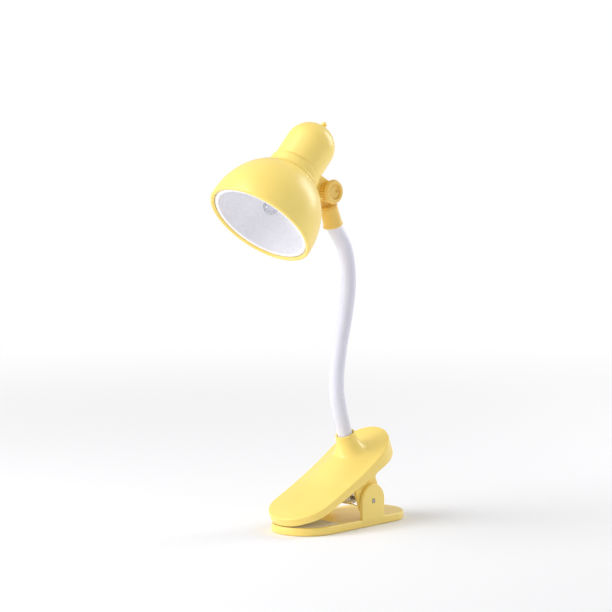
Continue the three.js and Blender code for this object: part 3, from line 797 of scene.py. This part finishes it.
def jawRings():
    u = upperJaw
    nose, width, edge, lip = u["nose"], u["halfWidth"], u["edge"], u["lip"]
    plan = slotPlan(-nose, u["length"], width, u["noseEnd"] + nose, u["tailEnd"], 44, 44)
    inner = 1 - u["wall"] / width
    flat = 1 - edge / width
    rings = []

    def add(share, height):
        rings.append(planRing(plan, share, height))

    for i in range(22):  # top, out from the spine
        add(flat * i / 22, lambda x, s: jawTop(x, s / flat))
    for i in range(10):  # the rounded edge
        t = pi / 2 * (1 - i / 9)
        add(1 - edge * (1 - cos(t)) / width, lambda x, s: jawEdgeTop(x) - edge * (1 - sin(t)))
    for i in range(1, 6):  # down the wall
        add(1, lambda x, s: between(jawEdgeTop(x) - edge, jawUnder(x) + lip, i / 5))
    for i in range(1, 5):
        t = pi / 2 * i / 4
        add(1 - lip * (1 - cos(t)) / width, lambda x, s: jawUnder(x) + lip * (1 - sin(t)))
    for i in range(5):
        t = pi / 2 * i / 4
        add(inner + lip * (1 - sin(t)) / width, lambda x, s: jawUnder(x) + lip * (1 - cos(t)))
    for i in range(1, 5):  # up the inside
        add(inner, lambda x, s: between(jawUnder(x) + lip, jawEdgeTop(x) - u["wall"], i / 4))
    for i in reversed(range(10)):
        add(inner * i / 10, lambda x, s: jawEdgeTop(x) - u["wall"])
    return rings


def onJaw(x, y):
    # the jaw's top at a place in its own plan
    u = upperJaw
    past = max(0, x - u["length"] + u["tailEnd"]) / u["tailEnd"]
    share = sqrt(past ** 2 + (y / u["halfWidth"]) ** 2)
    return jawTop(x, share / (1 - u["edge"] / u["halfWidth"]))


def collarRings():
    c = collar
    rim, edge = c["rimHeight"], c["edge"]
    rings = []

    def add(radius, height):
        spots = [(c["along"] + x, y) for x, y, _ in roundRing(radius, c["sides"])]
        rings.append([(x, y, height(x, y)) for x, y in spots])

    add(c["footRadius"], lambda x, y: onJaw(x, y) - c["sink"])
    for i in range(c["steps"] + 1):
        t = pi / 2 * i / c["steps"]
        radius = between(c["rimRadius"], c["footRadius"], 1 - sin(t))
        add(radius, lambda x, y: between(onJaw(x, y), rim - edge, 1 - cos(t)) + c["proud"])
    for t in (radians(30), radians(60), radians(90)):
        add(c["rimRadius"] - edge * (1 - cos(t)), lambda x, y: rim - edge * (1 - sin(t)))
    add(c["bore"] + 0.25, lambda x, y: rim)
    add(c["bore"], lambda x, y: rim - 0.3)
    add(c["bore"], lambda x, y: onJaw(x, y) - c["sink"])
    return rings


def lugPiece(side, pinX, pinN):
    # the outside runs from the jaw's wall in to the lug in one smooth sweep
    def outsideAt(n):
        low, high = -3.2, 2.2
        share = max(0, min(1, (n - low) / (high - low)))
        return between(lug["outside"], upperJaw["halfWidth"] + 0.02, share * share * (3 - 2 * share))

    radius, columns = lug["radius"], 24
    levels = [4.2, 3.4, 2.6, 1.8, 1.0, 0.2, -0.6, -1.4, -2.2, -3.0, -3.8, -6, -9, -12]
    levels = [n for n in levels if n > pinN] + [pinN - radius * sin(pi / 2 * i / 16) for i in range(17)]
    outer, inner = [], []
    for n in levels:
        reach = radius if n > pinN else sqrt(max(0.0, radius ** 2 - (n - pinN) ** 2))
        reach = max(reach, 0.02)
        spots = [pinX + reach * (2 * i / columns - 1) for i in range(columns + 1)]
        outer.append([(x, outsideAt(n), n) for x in spots])
        inner.append([(x, lug["inside"], n) for x in reversed(spots)])
    rings = [[(x, side * y, n) for x, y, n in front + rear] for front, rear in zip(outer, inner)]
    return skinned("lug", rings, jawFrame, False, 40)


def makeUpperJaw():
    shell = skinned("upper_jaw_top", jawRings(), jawFrame)
    c = collar
    bore = rod("bore", c["bore"], 0, 40, jawFrame @ Matrix.Translation((c["along"], 0, 0)), 64)
    s, tail = socket, upperJaw["length"]
    slot = slotAround(s["halfWidth"] + s["gap"], s["low"] - s["gap"], s["high"] + s["gap"])
    hole = skinned("hole", [[(x, y, z) for y, z in slot] for x in (tail - 8, tail + 3)], jawFrame)
    carved(shell, bore, hole)
    dress(shell, "yellowPlastic", "yellow_plastic", "upper_jaw", "upper_jaw_shell")
    neckCollar = skinned("neck_collar", collarRings(), jawFrame, True)
    dress(neckCollar, "yellowPlastic", "yellow_plastic", "upper_jaw")
    pinLocal = jawFrame.inverted() @ jawPin
    lugs = joined("jaw_lugs", lugPiece(-1, pinLocal.x, pinLocal.z), lugPiece(1, pinLocal.x, pinLocal.z))
    dress(lugs, "yellowPlastic", "yellow_plastic", "upper_jaw")


socket = {"halfWidth": 4.6, "low": 5.2, "high": 9.0, "wall": 0.45, "depth": 5.8, "gap": 0.35}


def slotAround(halfWidth, low, high, steps=10):
    # a rounded slot standing across the tail, as (y, z)
    radius = (high - low) / 2
    middle = (high + low) / 2
    right = arc(halfWidth - radius, middle, radius, -90, 90, steps)
    left = arc(-halfWidth + radius, middle, radius, 90, 270, steps)
    return right + left


def makeSocket():
    s = socket
    front = upperJaw["length"] - 1.2
    back = front - s["depth"]
    outer = slotAround(s["halfWidth"], s["low"], s["high"])
    inner = slotAround(s["halfWidth"] - s["wall"], s["low"] + s["wall"], s["high"] - s["wall"])
    steps = ((back, outer), (front, outer), (front, inner), (back + 1, inner))
    rings = [[(x, y, z) for y, z in around] for x, around in steps]
    shell = skinned("charge_socket_shell", rings, jawFrame)
    first, last = back + 0.6, front - 0.8
    blade = rounded([(first, 6.8), (last, 6.8, 0.2), (last, 7.4, 0.2), (first, 7.4)], True)
    tongue = slab("tongue", blade, -3, 3, 0.15, jawFrame)
    dress(shell, "steel", "steel", "upper_jaw", "charge_socket")
    dress(tongue, "blackPlastic", "black_plastic", "upper_jaw")
    tongue.name = "charge_socket_tongue"


screws = {
    "spots": ((43, 17.4), (43, -17.4), (92, 14.8), (92, -14.8)), "headRadius": 2.0,
    "headHeight": 0.6, "shank": 0.85, "reach": 3.2, "cross": 1.2, "crossWidth": 0.42,
}


def screwShape():
    d = screws
    wide, high = d["headRadius"], d["headHeight"]
    profile = rounded([(0, 0), (wide, 0.08, 0.3), (wide, high, 0.1), (d["shank"], high)])
    for i in range(8):  # thread
        z = high + 0.15 + (d["reach"] - high - 0.4) * i / 8
        profile += [(d["shank"], z), (d["shank"] - 0.16, z + 0.15)]
    profile += [(0.3, d["reach"]), (0, d["reach"])]
    shape = turned("screw", profile, Matrix.Identity(4), 32)
    reach, half = d["cross"], d["crossWidth"] / 2
    bar = [(-reach, -1), (reach, -1), (reach, 0.35), (-reach, 0.35)]
    turns = [Matrix.Rotation(turn, 4, "Z") for turn in (0, pi / 2)]
    return carved(shape, *[slab("bar", bar, -half, half, 0.05, turn) for turn in turns])


def makeScrews():
    shape = screwShape()
    numbers = {"Screw": shape}
    tree, ids, entry, leave = newTree("coverScrews", numbers)
    source = newNode(tree, "GeometryNodeObjectInfo")
    tree.links.new(entry.outputs["Screw"], source.inputs["Object"])
    spot = newNode(tree, "GeometryNodeInstanceOnPoints")
    wire(tree, spot, {"Points": entry.outputs["Geometry"], "Instance": source.outputs["Geometry"]})
    closeTree(tree, entry, leave, spot.outputs["Instances"], "steel", False)
    spots = [(x, y, jawUnder(x) + 0.2) for x, y in screws["spots"]]
    mesh = bpy.data.meshes.new("cover_screws")
    mesh.from_pydata(spots, [], [])
    host = show("cover_screws", mesh)
    runTree(host, tree, ids, numbers, jawFrame)
    drop(shape)
    dress(host, "steel", "steel", "upper_jaw", *[f"cover_screw_{i}" for i in range(1, 5)])


makeUpperJaw()
makeSocket()
makeScrews()
makePad("upper_grip_pad", padSizes["upper"], "upper_jaw", jawFrame, "upper_pad", True)
print("upper jaw made")


# neck: one smooth sleeve, in a piece round each joint

neck = {
    "route": (
        (14.6, 40.1), (6.1, 60.6), (-0.8, 83.6), (-1.9, 97), (1, 116.7),
        (6.4, 138.3), (9.8, 160), (6.3, 182.2), (-4.9, 198.6), (-7, 203.4),
    ),
    "radius": 5.0, "bore": 3.6, "bendReach": 12.6, "lastReach": 6.0, "sides": 56, "step": 1.3,
}
neckBodies = ["upper_jaw", "neck_2", "neck_3", "neck_4", "neck_5", "neck_6", "ferrule"]


def makeNeck():
    line = smoothLine([Vector((x, 0, z)) for x, z in neck["route"]], 60)
    lengths = [0.0]
    for a, b in zip(line, line[1:]):
        lengths.append(lengths[-1] + (b - a).length)

    def at(length):
        length = max(0, min(lengths[-1], length))
        i = max(1, next((k for k, v in enumerate(lengths) if v >= length), len(lengths) - 1))
        share = (length - lengths[i - 1]) / (lengths[i] - lengths[i - 1])
        return line[i - 1].lerp(line[i], share)

    def alongAt(length):
        return (at(length + 0.4) - at(length - 0.4)).normalized()

    turns = []
    for a, b in zip(neckBodies, neckBodies[1:]):
        joint = next(j for j in frame["joints"] if j["parent"] == a and j["child"] == b)
        spot = Vector(joint["pos_m"]) / mm
        turns.append(min(range(len(line)), key=lambda k: (line[k] - spot).length))
    turns = [lengths[k] for k in turns]
    cuts = [0.0] + [(a + b) / 2 for a, b in zip(turns, turns[1:])] + [lengths[-1]]
    sides = neck["sides"]
    for i, turnAt in enumerate(turns):
        steps = max(8, round((cuts[i + 1] - cuts[i]) / neck["step"]))
        outer, inner = [], []
        for k in range(steps + 1):
            length = cuts[i] + (cuts[i + 1] - cuts[i]) * k / steps
            here, along = at(length), alongAt(length)
            side = along.cross(Vector((0, 1, 0))).normalized()
            for rings, radius in ((outer, neck["radius"]), (inner, neck["bore"])):
                around = roundRing(radius, sides)
                rings.append([tuple(here + side * x + Vector((0, y, 0))) for x, y, _ in around])
        sleeve = skinned(f"neck_skin_{i + 1}", outer + inner[::-1], standFrame, True, 50)
        last = i == len(turns) - 1
        nodes = [f"neck_sleeve_{i + 1}"] + (["neck_sleeve_7"] if last else [])
        dress(sleeve, "whiteSilicone", "white_silicone", None, *nodes)
        here, along = at(turnAt), alongAt(turnAt)
        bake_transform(sleeve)


makeNeck()
print("neck made")


# ferrule, its bolt and the thumb knob

ferrule = {
    "mouth": 6.3, "top": 5.6, "mouthBore": 5.5, "mouthDepth": 7.0, "shoulder": 13.5, "hinge": 23.8,
    "tongueRadius": 8.2, "tongueInner": 1.2, "tongueOuter": 4.4, "step": 0.15,
}
bolt = {"shank": 1.9, "reach": 6.4, "across": 3.3, "headHigh": 2.0, "gap": 0.3}
knob = {"rim": 7.25, "valley": 6.05, "back": 2.2, "front": 8.8, "ridges": 24, "ridgeRadius": 0.64}


def makeFerrule():
    f = ferrule
    mouth, top, shoulder = f["mouth"], f["top"], f["shoulder"]
    depth, bore, step = f["mouthDepth"], f["mouthBore"], f["step"]
    inside = [(0, depth), (bore, depth), (bore, 0.0, 0.2)]
    outside = [(mouth, 0.0, 0.45), (mouth, 2.0, 1.0), (top + step, shoulder - 0.9)]
    collarTop = [(top - step, shoulder - 0.75), (top - step, shoulder, 0.4), (0, shoulder)]
    barrel = turned("barrel", rounded(inside + outside + collarTop), ferruleFrame, 96)
    outline = [(-top + 0.7, shoulder - 2), (top - 0.7, shoulder - 2), (top - 0.5, shoulder + 0.5)]
    outline += arc(0, f["hinge"], f["tongueRadius"], -10, 190, 44)
    outline += [(-top + 0.5, shoulder + 0.5)]
    tongue = slab("tongue", outline, f["tongueInner"], f["tongueOuter"], 0.5, ferruleFrame)
    carved(tongue, rod("hole", 2.2, -20, 20, knobFrame))
    dress(joined("ferrule_body", barrel, tongue), "amberPlastic", "amber_plastic", "ferrule", "ferrule")


def makeBolt():
    b = bolt
    under = ferrule["tongueOuter"] + b["gap"]
    wide, high, low = b["shank"], b["reach"], -under - 0.5
    outline = [(0, high), (wide, high, 0.3), (wide, low), (0, low)]
    shank = turned("shank", rounded(outline), knobFrame, 40)
    hexagon = [(x, z, 0.25) for x, z, _ in roundRing(b["across"], 6)]
    turn = Matrix.Rotation(pi / 2, 4, "X")
    place = knobFrame @ turn
    head = slab("head", rounded(hexagon, True), under, under + b["headHigh"], 0.3, place)
    dress(joined("tilt_bolt", shank, head), "steel", "steel", "ferrule", "hinge_bolt")


def ridgeTree():
    numbers = {"Ridges": 1, "Circle": 1.0, "Ridge Radius": 1.0, "Ridge Length": 1.0, "Middle": 1.0}
    tree, ids, entry, leave = newTree("knobRidges", numbers)
    circle = newNode(tree, "GeometryNodeMeshCircle")
    wire(tree, circle, {"Vertices": entry.outputs["Ridges"], "Radius": entry.outputs["Circle"]})
    lift = newNode(tree, "GeometryNodeTransform")
    wire(tree, lift, {
        "Geometry": circle.outputs["Mesh"],
        "Translation": vectorOf(tree, Z=entry.outputs["Middle"]),
    })
    bar = newNode(tree, "GeometryNodeMeshCylinder")
    wire(tree, bar, {
        "Vertices": 14, "Radius": entry.outputs["Ridge Radius"],
        "Depth": entry.outputs["Ridge Length"],
    })
    spot = newNode(tree, "GeometryNodeInstanceOnPoints")
    wire(tree, spot, {"Points": lift.outputs["Geometry"], "Instance": bar.outputs["Mesh"]})
    closeTree(tree, entry, leave, spot.outputs["Instances"], "amberPlastic")
    return tree, ids


def makeKnob():
    k = knob
    rim, front, valley, back = k["rim"], k["front"], k["valley"], k["back"]
    face = [(0, 7.75), (3.0, 7.75, 2.0), (5.0, 8.2, 1.0), (5.6, front, 0.4)]
    edge = [(rim - 0.35, front, 0.4), (rim, front - 0.6, 0.4), (rim, 7.75, 0.2)]
    side = [(valley, 7.4, 0.2), (valley, back + 0.2, 0.2), (valley - 0.4, back)]
    bore = [(2.2, back), (2.2, 6.7), (0, 6.7)]
    body = turned("thumb_wheel", rounded(face + edge + side + bore), Matrix.Identity(4), 120)
    dimple = turned("dimple", arc(0, 0, 1.35, -90, 90, 12), Matrix.Translation((2.5, 0, 8.75)), 32)
    carved(body, dimple)
    tree, ids = ridgeTree()
    length = 7.6 - back - 0.25
    numbers = {
        "Ridges": k["ridges"], "Circle": rim - k["ridgeRadius"], "Ridge Radius": k["ridgeRadius"],
        "Ridge Length": length, "Middle": 7.6 - length / 2,
    }
    runTree(body, tree, ids, numbers, knobFrame)
    dress(body, "amberPlastic", "amber_plastic", "knob", "thumb_knob")


makeFerrule()
makeBolt()
makeKnob()
print("ferrule and knob made")


# head: bell shade, reflector, ring, cap with its arm, lens and button

head = {
    "rim": 36.5, "lip": 33.6, "bulge": 3.0, "long": 44.0, "wall": 1.6, "top": 42.2,
    "topRadius": 17.4, "throat": 9.5, "ringTop": 48.3, "cap": 16.5, "capWall": 1.8,
    "capBase": 48.7, "dome": 66.0, "armInner": -1.9, "armOuter": 0.9, "armEye": 6.9, "hole": 1.5,
}
bowl = {"rim": 33.05, "mouth": 30.9, "depth": 36.0, "wall": 1.2, "throat": 7.0, "low": 1.7}
lens = {"radius": 5.0, "wall": 1.0, "centre": 15.5, "base": 36.4}
button = {"low": 77.9, "ball": 1.95, "up": 85.5, "stem": 1.1}


def bellLine(radius, bulge, length, top, steps=44):
    points = []
    for i in range(steps + 1):
        up = bulge + (top - bulge) * sin(pi / 2 * i / steps)
        points.append((radius * sqrt(max(0, 1 - ((up - bulge) / length) ** 2)), up))
    return points


def makeShade():
    h = head
    lipRadius = (h["rim"] - h["lip"]) / 2
    outer = bellLine(h["rim"], h["bulge"], h["long"], h["top"])
    inner = bellLine(h["rim"] - h["wall"], h["bulge"], h["long"] - h["wall"], h["top"] - h["wall"])
    lip = arc(h["rim"] - lipRadius, lipRadius, lipRadius, 180, 360, 14)
    profile = lip + outer + [(h["throat"], h["top"]), (h["throat"], h["top"] - h["wall"])] + inner[::-1]
    shade = turned("bell_shade_skin", profile, headFrame, 160, True)
    dress(shade, "yellowPlastic", "yellow_plastic", "head", "bell_shade")


def makeReflector():
    b = bowl
    rim, mouth, low = b["rim"], b["mouth"], b["low"]
    front = [(rim, low + 1.4), (rim, low, 0.45), (mouth + 0.55, low + 0.05, 0.35), (mouth, low + 0.9)]
    flange = rounded(front)

    def curve(radius, length):
        topUp = length * sqrt(1 - (b["throat"] / radius) ** 2)
        ups = [topUp * sin(pi / 2 * i / 44) for i in range(45)]
        return [(radius * sqrt(1 - (up / length) ** 2), b["low"] + 0.9 + up) for up in ups]
    inside = curve(b["mouth"], b["depth"])
    outside = curve(b["mouth"] + b["wall"], b["depth"] + b["wall"])
    profile = flange + inside[1:] + outside[::-1] + [(b["mouth"] + b["wall"], b["low"] + 1.4)]
    reflector = turned("reflector_bowl", profile, headFrame, 144, True)
    dress(reflector, "whitePlastic", "white_plastic", "head", "shade_reflector")


def makeRing():
    h = head
    low, high = h["top"] + 0.02, h["ringTop"]
    wide, throat = h["topRadius"], h["throat"]
    outside = [(wide - 0.2, low, 0.15), (wide, low + 0.7, 0.6), (wide, high, 0.9)]
    profile = rounded([(throat, low), *outside, (throat, high)], True)
    ring = turned("neck_ring", profile, headFrame, 144, True)
    dress(ring, "yellowPlastic", "yellow_plastic", "head", "shade_ring")


def makeCap():
    h = head
    cap, base, dome = h["cap"], h["capBase"], h["dome"]
    inside = cap - h["capWall"]
    holeTurn = acos(h["hole"] / cap) * 180 / pi
    innerTurn = acos(h["hole"] / inside) * 180 / pi
    outer = [(cap - 0.35, base), (cap, base + 0.35), (cap, (base + dome) / 2)]
    outer += arc(0, dome, cap, 0, holeTurn, 48)
    inner = arc(0, dome, inside, innerTurn, 0, 36) + [(inside, base)]
    shell = turned("cap", outer + inner, headFrame, 144, True)
    x, z, r = hingeOut, hingeUp, h["armEye"]
    arm = [(cap - 1.2, z - 5.4), (x - 7, z - r + 0.15)] + arc(x, z, r, -90, 112, 40)
    arm += [(x - 7, z + 5.6), (cap - 1.2, z + 3.4)]
    plate = slab("arm", arm, h["armInner"], h["armOuter"], 0.45, headFrame)
    carved(plate, rod("eye", 2.3, -20, 20, knobFrame))
    dress(joined("lamp_cap_skin", shell, plate), "yellowPlastic", "yellow_plastic", "head", "lamp_cap")


def makeLens():
    wide, centre, base = lens["radius"], lens["centre"], lens["base"]
    thin = wide - lens["wall"]
    outer = arc(0, centre, wide, -90, 0, 20) + [(wide, base), (thin, base)]
    clear = turned("lamp_lens", outer + arc(0, centre, thin, 0, -90, 20), headFrame, 64)
    dress(clear, "clearPlastic", "clear_plastic", "head", "led_lens")


def makeButton():
    low, ball, up, stem = button["low"], button["ball"], button["up"], button["stem"]
    profile = [(0, low), (stem - 0.2, low), (stem, low + 0.2), (stem, up - 2.0)]
    profile += arc(0, up, ball, -56, 90, 20)
    profile[-1] = (0, up + ball)
    knobTop = turned("push_button", profile, headFrame, 48, sharp=50)
    dress(knobTop, "yellowPlastic", "yellow_plastic", "button", "switch_button")


makeShade()
makeReflector()
makeRing()
makeCap()
makeLens()
makeButton()
print("head made")


# the frame's own solids that stay, with finer materials

kept = {
    "upper_jaw_cover": ("yellowPlastic", "yellow_plastic"),
    "battery_cell": ("cellPouch", "cell_pouch"),
    "charge_board": ("circuitBoard", "circuit_board"),
    "gland_nut": ("steel", "steel"),
    "lamp_holder": ("whitePlastic", "white_plastic"),
    "led_board": ("circuitBoard", "circuit_board"),
    "driver_board": ("circuitBoard", "circuit_board"),
    "switch_body": ("blackPlastic", "black_plastic"),
    **{f"neck_core_{i}": ("steel", "steel") for i in range(1, 7)},
}
for name, (material, slotName) in kept.items():
    node = frame["nodes"][name]
    node.data.materials.clear()
    node.data.materials.append(materials[material])
print("kept solids dressed:", len(kept))


# floor and light

stage = {"size": 11.0, "wall": 1.6, "near": 0.14, "far": 1.1, "tone": (243, 243, 245)}


def makeFloor():
    # flat far past the lamp, then swept up into a low wall all round
    size, wall, sides = stage["size"], stage["wall"], 64
    verts, faces = [(0, 0, 0)], []
    sweep = [pi / 2 * i / 8 for i in range(9)]
    rings = [(size * 0.5, 0.0)] + [(size + wall * sin(t), wall * (1 - cos(t))) for t in sweep]
    for radius, height in rings:
        verts += roundRing(radius, sides, height)
    for k in range(sides):
        after = (k + 1) % sides
        faces.append((0, 1 + k, 1 + after))
        for i in range(len(rings) - 1):
            a, b = 1 + i * sides, 1 + (i + 1) * sides
            faces.append((a + k, b + k, b + after, a + after))
    mesh = bpy.data.meshes.new("studio_floor")
    mesh.from_pydata(verts, [], faces)
    mesh.shade_smooth()
    floor = show("studio_floor", mesh)
    floor.location.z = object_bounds()[0].z - 0.00005
    material, tree, shader, coords = newMaterial("paleFloor")
    wire(tree, shader, {"Base Color": linear(*stage["tone"]), "Roughness": 0.7})
    glow = newNode(tree, "ShaderNodeEmission")
    wire(tree, glow, {"Color": (1, 1, 1, 1), "Strength": 1.0})
    reach = newNode(tree, "ShaderNodeVectorMath", operation="LENGTH")
    tree.links.new(coords, reach.inputs[0])
    fade = newNode(tree, "ShaderNodeMapRange", interpolation_type="SMOOTHSTEP")
    for key, number in (("From Min", stage["near"]), ("From Max", stage["far"])):
        fade.inputs[key].default_value = number
    tree.links.new(reach.outputs["Value"], fade.inputs["Value"])
    blend = newNode(tree, "ShaderNodeMixShader")
    wire(tree, blend, {
        "Fac": fade.outputs["Result"], 1: shader.outputs["BSDF"], 2: glow.outputs["Emission"],
    })
    tree.links.new(blend.outputs["Shader"], tree.nodes["Material Output"].inputs["Surface"])
    mesh.materials.append(material)


lights = {
    "fillBox": {"toward": (-0.95, 0.08, 0.25), "distance": 1.2, "size": (0.5, 0.45), "power": 4.2},
    "keyBox": {"toward": (-0.75, 0.85, 0.35), "distance": 1.1, "size": (0.7, 0.7), "power": 8.2},
    "sideBox": {"toward": (0.74, 0.48, -0.46), "distance": 1.1, "size": (0.34, 0.6), "power": 4.4},
}


def makeLights():
    world = bpy.data.worlds.new("studio")
    world.use_nodes = True
    world.node_tree.nodes["Background"].inputs["Color"].default_value = (1, 1, 1, 1)
    world.node_tree.nodes["Background"].inputs["Strength"].default_value = 0.5
    bpy.context.scene.world = world
    across = Vector((0, 0, 1)).cross(lookBack).normalized()
    up = lookBack.cross(across)
    middle = Vector(camera["target"])
    for name, spec in lights.items():
        data = bpy.data.lights.new(name, "AREA")
        data.shape = "RECTANGLE"
        data.size, data.size_y = spec["size"]
        data.energy = spec["power"]
        lamp = show(name, data)
        right, high, near = spec["toward"]
        toward = (across * right + up * high + lookBack * near).normalized()
        lamp.location = middle + toward * spec["distance"]
        lamp.rotation_euler = toward.to_track_quat("Z", "Y").to_euler()
    bpy.context.scene.view_settings.view_transform = "Standard"


makeFloor()
makeLights()
print("stage made")
